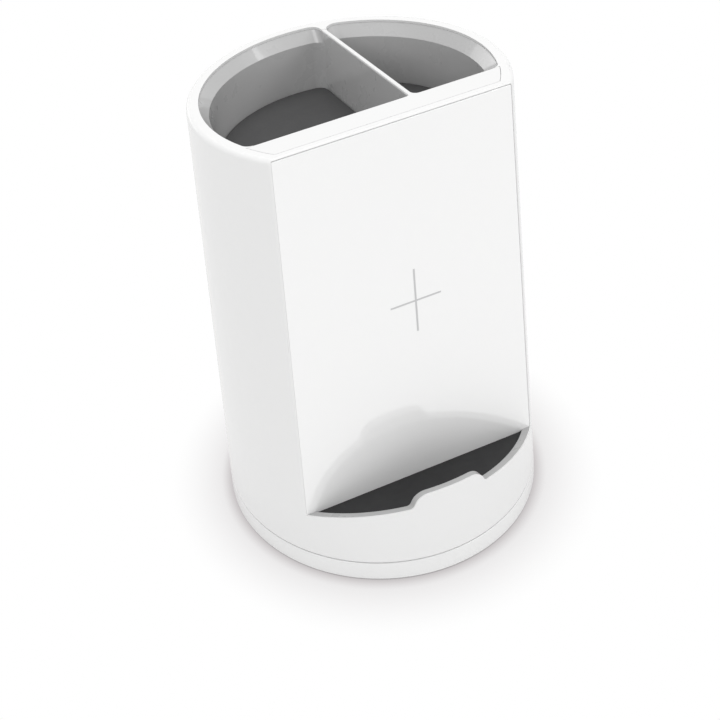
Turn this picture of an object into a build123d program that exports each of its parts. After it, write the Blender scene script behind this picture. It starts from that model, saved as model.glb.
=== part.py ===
from build123d import *

import math
import os

# Pen holder with a wireless phone charger in its front. Millimetres, +Z up, front towards -Y.
# The origin is the centre of the footprint, on the table.

# Outside of the drum
height = 124.1
foot_radius = 44.0
taper = 6.1
rim_radius = foot_radius - taper
rim_round = 1.2
wall = 2.2
deck = 2.0
reach = 4 * foot_radius

# Swivel seam between the base and the drum
foot_lift = 0.3
base_top = 6.05
seam = 0.4
drum_low = base_top + seam
edge_break = 0.3

# Front panel, which leans back a little, and the phone tray, which rises towards the front
lip_height = 19.83
tray_depth = 17.7
panel_depth = foot_radius - tray_depth
panel_lean = 1.51
tray_slope = 16.35
panel_thickness = 1.7
panel_side_border = 0.35
panel_top_border = 0.35
panel_corner = 0.3
front_edge = 0.6
panel_tuck = 1.4
fitted_gap = 0.12
flange = 2.0

# Charging mark, two thin lines sunk in the panel
mark_x = 2.15
mark_drop = 48.83
mark_half_width = 6.85
mark_half_height = 9.2
mark_line = 0.5
mark_sink = 0.15

# Tray liner, its raised stop and the rubber pad
liner_thickness = 2.4
shelf = 1.8
lip_edge = 0.4
band_width = 1.8
pad_thickness = 1.4
pad_drop = 0.4
pad_gap = 0.05
stop_height = 3.85
stop_foot_half = 10.4
stop_top_half = 8.6
stop_apron = 3.0
stop_apron_rise = 0.05
stop_root = 2.0
stop_corner = 4.0
stop_fillet = 1.5

# Deck: the trim strip with its cap over the divider between the two wells
top_lip = 0.6
deck_border = 1.8
trim_depth = 6.55
trim_end_reach = 0.3
rim_width = 3.0
divider_centre = 8.92
divider_width = 1.05
cap_round = 0.25

# Wells of the insert
flare_depth = 3.62
flare_inset = 2.08
front_flare = 1.45
well_depth = 16.2
well_draft = 0.25
back_corner = 3.0
outer_front_corner = 2.4
inner_front_corner = 1.6
sharp_corner = 0.8
mat_thickness = 1.2
mat_gap = 0.3
insert_floor = 1.5
insert_wall = 1.4
insert_flange = 1.0
insert_rim = 0.65
insert_gap = 0.05
ear_x = 20.0
ear_radius = 1.9
ear_thickness = 1.5
ear_drop = 6.0

# Power inlet in the back of the drum
socket_width = 8.94
socket_height = 3.2
socket_length = 7.3
socket_wall = 0.4
socket_tongue = 0.7
socket_tongue_width = 6.7
socket_step_in = 1.6
inlet_gap = 0.3
relief_width = 12.6
relief_height = 7.0
relief_depth = 1.1

# Circuit board
board_width = 32.0
board_length = 30.0
board_thickness = 1.6
board_inset = 5.6
board_corner = 4.0
post_radius = 2.6
post_height = 3.0
post_inset = 3.4
chip_side = 5.0
chip_height = 1.0
choke_side = 6.6
choke_height = 3.0
can_radius = 3.1
can_height = 6.5
film_length = 7.2
film_width = 3.0
film_height = 5.0
small_side = 2.4
small_height = 1.2

# Where the parts stand on the board: across from its middle, along from its back edge, or in from a side
chip_across = [-4.4, 5.6]
chip_along_shares = [0.4, 0.55]
choke_inset = 5.5
choke_along_share = 0.6
can_inset = 5.0
can_along = 9.4
film_across = -3.5
film_inset = 2.2
film_gap = 0.6
small_across = [-2.0, -2.0, 3.8]
small_along_shares = [0.565, 0.23, 0.23]
small_inset = 4.5
small_side_shares = [0.36, 0.715]

# Coil, shield and carrier
coil_margin = 7.0
coil_band = 13.5
coil_turns = 10
coil_groove = 0.25
coil_thickness = 1.3
coil_gap = 0.05
shield_border = 1.0
shield_thickness = 0.6
window_gap = 0.6
window_reach = 5.0
window_corner = 4.0
carrier_border = 3.6
carrier_reach = 3.0
carrier_thickness = 1.6
carrier_corner = 2.0
carrier_rib = 1.2
carrier_rib_height = 2.4
carrier_screw_inset = 1.8
notch_width = 8.0
notch_height = 6.5
lead_radius = 0.5
lead_pitch = 2.4
lead_slack = 3.0
lead_hang = 6.0
lead_end = 4.0
lead_bend = 3.0

# Bottom cover, screw bosses and hub
cover_thickness = 2.2
cover_gap = 0.15
boss_radius = 3.2
boss_inset = 5.0
boss_height = 6.3
hub_radius = 7.0
hub_fit = 0.05
hub_play = 0.1

# Swivel base
base_wall = 2.4
base_plate = 2.6
rib_count = 12
rib_width = 1.4
rib_drop = 1.2
inner_ring_radius = 14.0
ring_wall = 1.6
glide_inset = 12.0
glide_width = 3.5
glide_thickness = 1.1
glide_gap = 0.05
glide_seat = 0.5
foot_inset = 4.0
foot_width = 6.5
foot_thickness = 1.6
foot_seat = 1.3
washer_radius = 10.0
washer_thickness = 0.8

# Screws
screw_shank = 1.0
screw_head = 1.9
screw_head_height = 1.1
screw_slot = 0.5
screw_slot_depth = 0.45
thread_gap = 0.1
cover_screw_length = 6.0
board_screw_length = 3.6
carrier_screw_length = 3.0
insert_screw_length = 4.5
hub_screw_length = 7.0
hub_screw_shank = 1.5
hub_screw_head = 2.9
hub_screw_head_height = 1.1

lean = math.radians(panel_lean)
slope = math.radians(tray_slope)

# Sizes that follow from the ones above
mouth_radius = rim_radius - rim_width
trim_end_radius = mouth_radius + trim_end_reach
trim_front = panel_depth - (height - lip_height) * math.tan(lean) - deck_border
well_front = trim_front - trim_depth
flare_low = height - flare_depth
well_floor = height - well_depth - mat_thickness
insert_top = height - top_lip - insert_gap
ear_y = well_front + ear_radius
deck_low = height - deck
ear_top = deck_low - ear_drop
insert_seat = ear_top - ear_thickness
cover_top = drum_low + cover_thickness
cover_seat = drum_low + screw_head_height + thread_gap
board_low = cover_top + post_height
board_top = board_low + board_thickness
board_back = foot_radius - board_inset
board_half = board_width / 2
chip_places = [(x, share * board_length) for x, share in zip(chip_across, chip_along_shares)]
choke_places = [(choke_inset - board_half, choke_along_share * board_length)]
can_places = [(board_half - can_inset, can_along)]
film_places = [(film_across, board_length - film_inset - row * (film_width + film_gap)) for row in (0, 1)]
small_places = [(x, share * board_length) for x, share in zip(small_across, small_along_shares)]
small_places += [
    (side * (board_half - small_inset), share * board_length)
    for side, share in zip((-1, 1), small_side_shares)
]
boss_circle = foot_radius - boss_inset
glide_outer = foot_radius - glide_inset
glide_inner = glide_outer - glide_width
glide_low = drum_low - glide_gap - glide_thickness
foot_outer = foot_radius - foot_inset
foot_inner = foot_outer - foot_width
hub_top = cover_top + hub_play
panel_top = (height - lip_height) / math.cos(lean) - panel_top_border
mark_rise = panel_top - mark_drop
stop_apron_half = stop_foot_half + stop_apron

tray_plane = Plane(
    origin=(0, -panel_depth, lip_height),
    x_dir=(1, 0, 0),
    z_dir=(0, math.sin(slope), math.cos(slope)),
)
panel_plane = Plane(
    origin=(0, -panel_depth, lip_height),
    x_dir=(1, 0, 0),
    z_dir=(0, -math.cos(lean), math.sin(lean)),
)


def outside_radius(z):
    """Radius of the drum at a height above the table."""
    return foot_radius + (rim_radius - foot_radius) * z / height


def drum(inset, low, high):
    """A tapered slice that follows the outside at an even inset."""
    foot = outside_radius(low) - inset
    top = outside_radius(high) - inset
    return Pos(0, 0, (low + high) / 2) * Cone(foot, top, high - low)


def pillar(radius, low, high, x=0.0, y=0.0):
    """An upright cylinder between two heights."""
    return Pos(x, y, (low + high) / 2) * Cylinder(radius, high - low)


def above_tray(drop):
    """Everything above a plane that lies below the tray face by the drop."""
    return tray_plane * (Pos(0, 0, reach / 2 - drop) * Box(2 * reach, 2 * reach, reach))


def before_panel(depth):
    """Everything in front of a plane that lies behind the panel face by the depth."""
    return panel_plane * (Pos(0, 0, reach / 2 - depth) * Box(2 * reach, 2 * reach, reach))


def chord_half(rise, depth=0.0):
    """Half width of the drum where the panel plane crosses it, at a rise up the panel."""
    z = lip_height + rise * math.cos(lean) - depth * math.sin(lean)
    y = panel_depth - rise * math.sin(lean) - depth * math.cos(lean)
    return math.sqrt(outside_radius(z) ** 2 - y ** 2)


coil_outer = chord_half(panel_top) - panel_side_border - coil_margin
coil_inner = coil_outer - coil_band
coil_near = panel_thickness + coil_gap
coil_far = coil_near + coil_thickness
shield_radius = coil_outer + shield_border
shield_far = coil_far + shield_thickness
window_half_width = shield_radius + window_gap
window_half_height = shield_radius + window_reach
carrier_half_width = window_half_width + carrier_border
carrier_half_height = window_half_height + carrier_reach
carrier_screw_x = carrier_half_width - carrier_screw_inset
carrier_screw_y = shield_radius + window_gap
socket_mouth = outside_radius(board_top) - relief_depth - inlet_gap


def panel_outline(gap):
    """The panel's leaning trapezium on its own plane, shrunk by a gap."""
    foot = chord_half(-panel_tuck) - panel_side_border - gap
    top = chord_half(panel_top) - panel_side_border - gap
    face = Polygon(
        (-foot, gap - panel_tuck),
        (foot, gap - panel_tuck),
        (top, panel_top - gap),
        (-top, panel_top - gap),
        align=None,
    )
    corners = face.vertices().sort_by(Axis.Y)[-2:]
    return fillet(corners, panel_corner)


def corner_near(face, x, y):
    """The corner of a flat face that lies nearest to a point."""
    return face.vertices().sort_by_distance((x, y, 0))[0]


def divider_face(side):
    """Where the divider's face stands, on one side of it."""
    return divider_centre + side * divider_width / 2


def well_outline(side, radius, front, face_x):
    """One D-shaped well outline, the left one for side -1 and the right one for side 1."""
    block = Pos(face_x + side * reach / 2, reach / 2 - front) * Rectangle(reach, reach)
    face = Circle(radius) & block
    front_x = side * math.sqrt(radius ** 2 - front ** 2)
    back_y = math.sqrt(radius ** 2 - face_x ** 2)
    inner_corner = sharp_corner if side < 0 else inner_front_corner
    face = fillet(corner_near(face, front_x, -front), outer_front_corner)
    face = fillet(corner_near(face, face_x, -front), inner_corner)
    return fillet(corner_near(face, face_x, back_y), back_corner)


def mouth_outline(side):
    """A well's outline where it meets the deck."""
    return well_outline(side, mouth_radius, well_front, divider_face(side))


def throat_outline(side):
    """A well's outline at the foot of its flared band."""
    return well_outline(side, mouth_radius - flare_inset, well_front - front_flare, divider_face(side))


def foot_outline(side, gap=0.0):
    """A well's outline at its floor."""
    inset = well_draft + gap
    return well_outline(
        side,
        mouth_radius - flare_inset - inset,
        well_front - front_flare - inset,
        divider_face(side) + side * inset,
    )


def well_cavity(side):
    """The air inside one well: a flared mouth over a nearly straight tub."""
    flare = loft([Pos(0, 0, flare_low) * throat_outline(side), Pos(0, 0, insert_top) * mouth_outline(side)], ruled=True)
    tub = loft([Pos(0, 0, well_floor) * foot_outline(side), Pos(0, 0, flare_low) * throat_outline(side)], ruled=True)
    return flare + tub


def d_prism(radius, front, low, high):
    """A round slab cut flat across its front."""
    slab = pillar(radius, low, high)
    return slab - Pos(0, -front - reach / 2, (low + high) / 2) * Box(reach, reach, 2 * height)


def ring(inner, outer, low, high):
    """A flat ring between two heights."""
    return pillar(outer, low, high) - pillar(inner, low, high)


def trim_outline(gap):
    """The strip in front of the wells and its narrow cap over the divider."""
    depth = trim_front - gap - well_front
    strip = Circle(trim_end_radius - gap) & (Pos(0, -well_front - depth / 2) * Rectangle(2 * reach, depth))
    left = divider_face(-1) - sharp_corner
    right = divider_face(1) + inner_front_corner
    root = Pos((left + right) / 2, inner_front_corner / 2 - well_front) * Rectangle(right - left, inner_front_corner)
    cap_end = math.sqrt(mouth_radius ** 2 - divider_face(1) ** 2) - back_corner - gap
    cap = Pos(divider_centre, (cap_end - well_front) / 2) * Rectangle(divider_width, cap_end + well_front)
    return (strip + root + cap) - mouth_outline(-1) - mouth_outline(1)


def socket_middle():
    """Height of the power socket's centre."""
    return board_top + socket_height / 2


def upright_slot(width, high, near, far):
    """A round-ended slot that runs front to back at the height of the power socket."""
    slot = RectangleRounded(width, high, high / 2 - edge_break / 2)
    start = Plane(origin=(0, near, socket_middle()), x_dir=(1, 0, 0), z_dir=(0, 1, 0))
    return extrude(start * slot, far - near)


def boss_places():
    """Centres of the four bosses that take the cover's screws."""
    angles = [math.radians(45 + 90 * step) for step in range(4)]
    return [(boss_circle * math.cos(a), boss_circle * math.sin(a)) for a in angles]


def ear_places():
    """Centres of the two pillars that take the insert's screws."""
    return [(-ear_x, -ear_y), (ear_x, -ear_y)]


def post_places():
    """Centres of the four posts under the circuit board."""
    x = board_width / 2 - post_inset
    back = board_back - post_inset
    front = board_back - board_length + post_inset
    return [(-x, back), (x, back), (-x, front), (x, front)]


def carrier_places():
    """Centres of the carrier's screws, on the panel plane."""
    return [
        (mark_x + side * carrier_screw_x, mark_rise + end * carrier_screw_y)
        for side in (-1, 1)
        for end in (-1, 1)
    ]


def screw(shank, head, head_height, length):
    """A pan head screw with a cross slot, its head below zero and its shank upwards."""
    body = Pos(0, 0, -head_height / 2) * Cylinder(head, head_height)
    body = fillet(body.edges().sort_by(Axis.Z)[0], head_height / 3)
    body += Pos(0, 0, (length - shank) / 2) * Cylinder(shank, length - shank)
    body += Pos(0, 0, length - shank / 2) * Cone(shank, shank / 3, shank)
    for turn in (0, 90):
        body -= Pos(0, 0, screw_slot_depth / 2 - head_height) * (
            Rot(0, 0, turn) * Box(head, screw_slot, screw_slot_depth)
        )
    return body


def small_screw(length):
    """The small screw used on the cover, the board, the carrier and the insert."""
    return screw(screw_shank, screw_head, screw_head_height, length)


flip = Rot(180, 0, 0)


def chord_edges(body):
    """The two long edges where the front cut meets the outside of the drum."""
    middle = (lip_height + height) / 2
    return [
        edge
        for edge in body.edges()
        if edge.length > (height - lip_height) / 2
        and abs(abs(edge.center().X) - chord_half((height - lip_height) / 2)) < wall
        and abs(edge.center().Z - middle) < wall
        and edge.center().Y < 0
    ]


def drum_shell():
    """The drum's one-piece moulding: wall, rim, deck, panel frame, tray shelf and raised stop."""
    body = drum(0.0, drum_low, height)
    body = fillet(body.edges().sort_by(Axis.Z)[-1], rim_round)
    body = chamfer(body.edges().sort_by(Axis.Z)[0], edge_break / 2)
    body -= above_tray(0.0) & before_panel(0.0)
    body = fillet(chord_edges(body), front_edge)
    hollow = drum(wall, drum_low, deck_low)
    hollow -= above_tray(liner_thickness + shelf) & before_panel(panel_thickness + flange)
    body -= hollow
    body -= tray_slab(lip_edge, 0.0, liner_thickness)
    body += stop_wall(lip_edge, 0.0)
    body -= panel_plane * extrude(panel_outline(0.0), -panel_thickness)
    window = RectangleRounded(2 * window_half_width, 2 * window_half_height, window_corner)
    window = Pos(mark_x, mark_rise, -panel_thickness) * extrude(window, -2 * flange)
    body -= panel_plane * window
    flange_reach = mouth_radius + insert_rim + fitted_gap
    body -= d_prism(flange_reach, well_front + insert_wall + fitted_gap, deck_low, height - top_lip)
    for side in (-1, 1):
        body -= extrude(Pos(0, 0, height - top_lip) * mouth_outline(side), top_lip)
    body -= extrude(Pos(0, 0, height - top_lip) * trim_outline(0.0), top_lip)
    for x, y in ear_places():
        body += pillar(ear_radius, ear_top, deck_low, x, y)
        body -= pillar(screw_shank + thread_gap, ear_top, insert_seat + insert_screw_length, x, y)
    for x, y in boss_places():
        boss = pillar(boss_radius, cover_top, cover_top + boss_height, x, y)
        body += boss & drum(wall / 2, drum_low, height)
        body -= pillar(screw_shank + thread_gap, cover_top, cover_top + cover_screw_length, x, y)
    for x, rise in carrier_places():
        hole = Pos(x, rise, -panel_thickness - flange / 2) * Cylinder(screw_shank + thread_gap, flange)
        body -= panel_plane * hole
    body -= upright_slot(socket_width + 2 * inlet_gap, socket_height + 2 * inlet_gap, board_back, reach / 2)
    relief_y = outside_radius(socket_middle()) - relief_depth
    body -= upright_slot(relief_width, relief_height, relief_y, reach / 2)
    return body


def stop_wall(inner_inset, outer_inset):
    """The raised stop, a curved wall between two insets of the drum."""
    profile = Polygon(
        (-stop_apron_half, -stop_root),
        (stop_apron_half, -stop_root),
        (stop_apron_half, -stop_apron_rise),
        (stop_foot_half, -stop_apron_rise),
        (stop_top_half, stop_height),
        (-stop_top_half, stop_height),
        (-stop_foot_half, -stop_apron_rise),
        (-stop_apron_half, -stop_apron_rise),
        align=None,
    )
    for side in (-1, 1):
        profile = fillet(corner_near(profile, side * stop_top_half, stop_height), stop_corner)
        profile = fillet(corner_near(profile, side * stop_foot_half, -stop_apron_rise), stop_fillet)
    front_plane = Plane(
        origin=tray_plane.origin,
        x_dir=(1, 0, 0),
        z_dir=(0, -math.cos(slope), math.sin(slope)),
    )
    prism = extrude(front_plane * profile, reach / 2)
    low = lip_height - foot_radius / 4
    high = lip_height + foot_radius / 2
    return prism & (drum(outer_inset, low, high) - drum(inner_inset, low, high))


def deck_trim():
    """The flush strip on the deck with the cap that runs back over the divider."""
    body = extrude(Pos(0, 0, height - top_lip) * trim_outline(fitted_gap), top_lip)
    long = [
        edge
        for edge in body.edges().filter_by(Axis.Y)
        if edge.center().Z > height - top_lip / 2
        and abs(abs(edge.center().X - divider_centre) - divider_width / 2) < cap_round
        and edge.length > well_front
    ]
    return fillet(long, cap_round)


def mark_cross(sink):
    """The charging mark's two crossed lines, as deep as the sink."""
    cross = Rectangle(2 * mark_half_width, mark_line) + Rectangle(mark_line, 2 * mark_half_height)
    return panel_plane * (Pos(mark_x, mark_rise, 0) * extrude(cross, -sink))


def front_panel():
    """The flat glossy charging panel with the mark let into it."""
    body = panel_plane * extrude(panel_outline(fitted_gap), -panel_thickness)
    face = body.faces().sort_by(Axis.Y)[0]
    body = chamfer(face.edges(), edge_break / 2)
    return body - mark_cross(mark_sink)


def tray_slab(inset, gap, depth):
    """The slab just under the tray face, held to an inset of the drum and a gap off the panel."""
    body = drum(inset, lip_height - foot_radius / 4, lip_height + foot_radius / 2)
    body &= before_panel(-gap)
    body &= above_tray(depth)
    return body - above_tray(0.0)


def tray_liner():
    """The grey liner of the phone tray, with the inner half of the raised stop."""
    outer_inset = lip_edge + insert_gap
    inner_inset = lip_edge + band_width
    body = tray_slab(outer_inset, insert_gap, liner_thickness)
    body += stop_wall(inner_inset, outer_inset)
    return body - tray_slab(inner_inset, insert_gap, pad_thickness)


def tray_pad():
    """The rubber pad that the phone stands on."""
    body = tray_slab(lip_edge + band_width + pad_gap, insert_gap + pad_gap, pad_thickness)
    return body - above_tray(pad_drop)


def well_insert():
    """The two-well tub that hangs inside the drum, with its flared mouth and screw ears."""
    throat = mouth_radius - flare_inset
    body = d_prism(throat + insert_wall, well_front - front_flare + insert_wall, well_floor - insert_floor, insert_top)
    body += d_prism(mouth_radius + insert_rim, well_front + insert_wall, flare_low - insert_flange, insert_top)
    inner = well_front - front_flare
    for x, y in ear_places():
        body -= pillar(ear_radius + fitted_gap, ear_top, deck_low + insert_gap, x, y)
        body += pillar(ear_radius, insert_seat, ear_top, x, y)
        neck = Box(2 * ear_radius, ear_y - inner, ear_thickness)
        body += Pos(x, -(ear_y + inner) / 2, (insert_seat + ear_top) / 2) * neck
        body -= pillar(screw_shank + thread_gap, insert_seat, ear_top, x, y)
    for side in (-1, 1):
        body -= well_cavity(side)
    return body


def well_mat(side):
    """The rubber mat on a well's floor."""
    return extrude(Pos(0, 0, well_floor) * foot_outline(side, mat_gap), mat_thickness)


def bottom_cover():
    """The round plate that closes the drum, with the hub bore and the board's posts."""
    body = drum(wall + cover_gap, drum_low, cover_top)
    body -= pillar(hub_radius + hub_fit, drum_low, cover_top)
    for x, y in boss_places():
        body -= pillar(screw_shank + thread_gap, drum_low, cover_top, x, y)
        body -= pillar(screw_head + thread_gap, drum_low, cover_seat, x, y)
    for x, y in post_places():
        body += pillar(post_radius, cover_top, board_low, x, y)
        body -= pillar(screw_shank + thread_gap, board_top - board_screw_length, board_low, x, y)
    return body


def swivel_base():
    """The turntable foot: plate, outer wall, hub and the ribbed track of the glide ring."""
    plate_top = foot_lift + base_plate
    rib_top = base_top - rib_drop
    body = drum(0.0, foot_lift, base_top)
    body = chamfer(body.edges().sort_by(Axis.Z)[-1], edge_break / 2)
    body = fillet(body.edges().sort_by(Axis.Z)[0], edge_break)
    wall_inside = drum(base_wall, plate_top, base_top)
    body -= wall_inside
    for turn in range(rib_count):
        spoke = Pos(foot_radius / 2, 0, (plate_top + rib_top) / 2) * Box(foot_radius, rib_width, rib_top - plate_top)
        body += (Rot(0, 0, turn * 360 / rib_count) * spoke) & wall_inside
    body += ring(inner_ring_radius, inner_ring_radius + ring_wall, plate_top, rib_top)
    body += ring(glide_inner - ring_wall, glide_outer + ring_wall, plate_top, glide_low + glide_seat)
    body -= ring(glide_inner - fitted_gap, glide_outer + fitted_gap, glide_low, glide_low + glide_seat)
    body += pillar(hub_radius, plate_top, hub_top)
    body -= pillar(hub_screw_shank + thread_gap, hub_top + washer_thickness - hub_screw_length, hub_top)
    return body - ring(foot_inner - fitted_gap, foot_outer + fitted_gap, foot_lift, foot_lift + foot_seat)


def foot_ring():
    """The soft anti-slip ring under the base."""
    body = ring(foot_inner, foot_outer, foot_lift + foot_seat - foot_thickness, foot_lift + foot_seat)
    rims = body.edges().sort_by(Axis.Z)[:2]
    return fillet(rims, edge_break)


def coil_disc(inner, outer, near, far):
    """A flat ring parallel to the panel, between two depths behind its face."""
    middle = Pos(mark_x, mark_rise, -(near + far) / 2)
    body = Cylinder(outer, far - near)
    if inner > 0:
        body -= Cylinder(inner, far - near)
    return panel_plane * (middle * body)


def charging_coil():
    """The flat winding, with the grooves between its turns."""
    body = coil_disc(coil_inner, coil_outer, coil_near, coil_far)
    pitch = (coil_outer - coil_inner) / coil_turns
    for turn in range(1, coil_turns):
        radius = coil_inner + turn * pitch
        body -= coil_disc(radius - coil_groove / 2, radius + coil_groove / 2, coil_near, coil_near + coil_groove)
    return body


def coil_carrier():
    """The plate that holds the coil and its shield against the back of the panel."""
    near = panel_thickness + flange
    outline = RectangleRounded(2 * carrier_half_width, 2 * carrier_half_height, carrier_corner)
    inside = Rectangle(2 * (carrier_half_width - carrier_rib), 2 * (carrier_half_height - carrier_rib))
    body = Pos(mark_x, mark_rise, -near) * extrude(outline, -carrier_thickness)
    rim = Pos(mark_x, mark_rise, -near - carrier_thickness) * extrude(outline - inside, -carrier_rib_height)
    notch_low = mark_rise - carrier_half_height
    notch = Pos(mark_x, notch_low, -near) * Box(notch_width, 2 * notch_height, foot_radius / 2)
    body = body + rim - notch
    for x, rise in carrier_places():
        body -= Pos(x, rise, -near) * Cylinder(screw_shank + thread_gap, 2 * carrier_thickness)
        head_room = Cylinder(screw_head + cover_gap, carrier_rib_height)
        body -= Pos(x, rise, -near - carrier_thickness - carrier_rib_height / 2) * head_room
    return panel_plane * body


def coil_leads():
    """The two insulated leads from the coil through the carrier's notch down to the board."""
    notch_rise = mark_rise - carrier_half_height + notch_height / 2 + lead_slack / 2
    board_front = board_back - board_length
    leads = []
    for side in (-1, 1):
        x = mark_x + side * lead_pitch / 2
        start_rise = mark_rise - coil_outer - lead_radius
        path = FilletPolyline(
            panel_plane.from_local_coords((x, start_rise, -(coil_near + lead_radius))),
            panel_plane.from_local_coords((x, notch_rise, -panel_thickness - flange)),
            Vector(x, board_front - lead_slack, board_top + lead_hang),
            Vector(x, board_front + lead_end, board_top + lead_radius),
            radius=lead_bend,
        )
        end = Plane(origin=path @ 0, z_dir=path % 0)
        leads.append(sweep(end * Circle(lead_radius), path=path))
    return leads


def circuit_board():
    """The charger's circuit board on its four posts."""
    outline = RectangleRounded(board_width, board_length, board_corner)
    body = Pos(0, board_back - board_length / 2, board_low) * extrude(outline, board_thickness)
    for x, y in post_places():
        body -= pillar(screw_shank + thread_gap, board_low, board_top, x, y)
    return body


def power_inlet():
    """The power socket's metal shell, open towards the back."""
    near = socket_mouth - socket_length
    body = upright_slot(socket_width, socket_height, near, socket_mouth)
    hollow_width = socket_width - 2 * socket_wall
    hollow_height = socket_height - 2 * socket_wall
    return body - upright_slot(hollow_width, hollow_height, near + socket_wall, socket_mouth)


def inlet_tongue():
    """The contact tongue inside the power socket."""
    near = socket_mouth - socket_length + socket_wall
    long = socket_mouth - socket_step_in - near
    return Pos(0, near + long / 2, socket_middle()) * Box(socket_tongue_width, long, socket_tongue)


def on_board(shape, high, places):
    """Copies of a part standing on the board at places measured from its back edge."""
    return [Pos(x, board_back - y, board_top + high / 2) * shape for x, y in places]


def write(name, solids):
    """Write one node of the assembly."""
    shapes = list(solids) if isinstance(solids, (list, tuple)) else [solids]
    found = [solid for shape in shapes for solid in shape.solids()]
    print(name, len(found))
    export_step(found[0] if len(found) == 1 else Compound(children=found), os.path.join("parts", name + ".step"))


os.makedirs("parts", exist_ok=True)
write("drum_shell", drum_shell())
write("deck_trim", deck_trim())
write("front_panel", front_panel())
write("charging_mark", mark_cross(mark_sink))
write("tray_liner", tray_liner())
write("tray_pad", tray_pad())
write("well_insert", well_insert())
write("left_well_mat", well_mat(-1))
write("right_well_mat", well_mat(1))
write("bottom_cover", bottom_cover())
write("swivel_base", swivel_base())
write("glide_ring", ring(glide_inner, glide_outer, glide_low, glide_low + glide_thickness))
write("foot_ring", foot_ring())
washer = ring(hub_screw_shank + thread_gap, washer_radius, hub_top, hub_top + washer_thickness)
write("hub_washer", washer)
hub_screw = screw(hub_screw_shank, hub_screw_head, hub_screw_head_height, hub_screw_length)
write("hub_screw", Pos(0, 0, hub_top + washer_thickness) * (flip * hub_screw))
write("cover_screws", [Pos(x, y, cover_seat) * small_screw(cover_screw_length) for x, y in boss_places()])
write("insert_screws", [Pos(x, y, insert_seat) * small_screw(insert_screw_length) for x, y in ear_places()])
write("board_screws", [Pos(x, y, board_top) * (flip * small_screw(board_screw_length)) for x, y in post_places()])
carrier_seat = -panel_thickness - flange - carrier_thickness
carrier_screws = [
    panel_plane * (Pos(x, rise, carrier_seat) * small_screw(carrier_screw_length))
    for x, rise in carrier_places()
]
write("carrier_screws", carrier_screws)
write("coil_carrier", coil_carrier())
write("charging_coil", charging_coil())
write("coil_shield", coil_disc(0.0, shield_radius, coil_far, shield_far))
write("coil_leads", coil_leads())
write("circuit_board", circuit_board())
write("power_inlet", power_inlet())
write("inlet_tongue", inlet_tongue())
write("controller_chips", on_board(Box(chip_side, chip_side, chip_height), chip_height, chip_places))
write("choke", on_board(Box(choke_side, choke_side, choke_height), choke_height, choke_places))
write("can_capacitor", on_board(Cylinder(can_radius, can_height), can_height, can_places))
write("film_capacitors", on_board(Box(film_length, film_width, film_height), film_height, film_places))
write("small_components", on_board(Box(small_side, small_side, small_height), small_height, small_places))
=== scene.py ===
"""Looks of a pen holder with a wireless phone charger: finishes, winding, studio and camera.

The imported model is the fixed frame. Lengths are metres, +Z is up and the front looks towards -Y.
"""

import logging
import math
from dataclasses import dataclass
from enum import Enum

import bpy
import numpy as np
from mathutils import Matrix, Vector


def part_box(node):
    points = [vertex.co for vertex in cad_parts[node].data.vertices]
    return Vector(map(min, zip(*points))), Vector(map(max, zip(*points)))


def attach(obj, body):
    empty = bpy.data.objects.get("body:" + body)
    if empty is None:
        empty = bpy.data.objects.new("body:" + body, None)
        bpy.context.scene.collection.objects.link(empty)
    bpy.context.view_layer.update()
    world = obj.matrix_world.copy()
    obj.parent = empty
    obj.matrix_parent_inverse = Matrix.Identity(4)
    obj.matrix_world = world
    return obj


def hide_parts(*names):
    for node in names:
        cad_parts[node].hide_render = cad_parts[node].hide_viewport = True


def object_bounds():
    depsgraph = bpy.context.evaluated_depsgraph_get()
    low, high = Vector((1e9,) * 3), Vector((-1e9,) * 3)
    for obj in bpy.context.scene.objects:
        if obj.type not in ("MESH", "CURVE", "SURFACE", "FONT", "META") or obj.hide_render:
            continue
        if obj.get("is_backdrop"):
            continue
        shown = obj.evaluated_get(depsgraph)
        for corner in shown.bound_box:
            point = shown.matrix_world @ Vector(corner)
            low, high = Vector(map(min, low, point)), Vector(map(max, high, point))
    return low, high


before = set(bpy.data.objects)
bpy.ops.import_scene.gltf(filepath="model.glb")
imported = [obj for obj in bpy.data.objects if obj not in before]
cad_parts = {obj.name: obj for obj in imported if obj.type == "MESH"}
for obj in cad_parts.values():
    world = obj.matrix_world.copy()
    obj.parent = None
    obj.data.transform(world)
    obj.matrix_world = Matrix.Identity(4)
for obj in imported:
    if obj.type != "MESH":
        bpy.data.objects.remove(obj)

log = logging.getLogger("pen_holder")

Colour = tuple[float, float, float]
Place = tuple[float, float, float]
Span = tuple[float, float]
Socket = bpy.types.NodeSocket

PANEL_LEAN = 1.51  # degrees by which the panel leans back


class Relief(Enum):
    """How the skin of a finish is textured."""

    PEEL = "low soft waves left by a polished mould"
    SPARK = "fine matt grain left by a spark-eroded mould"
    PEBBLE = "small rounded grains of moulded rubber"
    SINTER = "pores of a pressed and fired ceramic"


@dataclass(frozen=True)
class Skin:
    """The relief of a finish and how its gloss drifts.

    Attributes:
        relief: Kind of relief.
        scale: Grains per metre.
        height: Height of a grain in metres.
        rough: Lowest and highest roughness over the surface.
    """

    relief: Relief
    scale: float
    height: float
    rough: Span


@dataclass(frozen=True)
class Gloss:
    """How a finish reflects.

    Attributes:
        specular: Strength of the reflection of the body, 0.5 for a plain plastic.
        ior: Refractive index of the body.
        coat: Strength of a clear polished layer.
        coat_rough: Roughness of that layer.
        coat_ior: Refractive index of that layer.
        metal: 1 for bare metal.
        sheen: Soft glow at grazing angles, as on rubber.
    """

    specular: float = 0.5
    ior: float = 1.5
    coat: float = 0.0
    coat_rough: float = 0.03
    coat_ior: float = 1.5
    metal: float = 0.0
    sheen: float = 0.0


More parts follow.
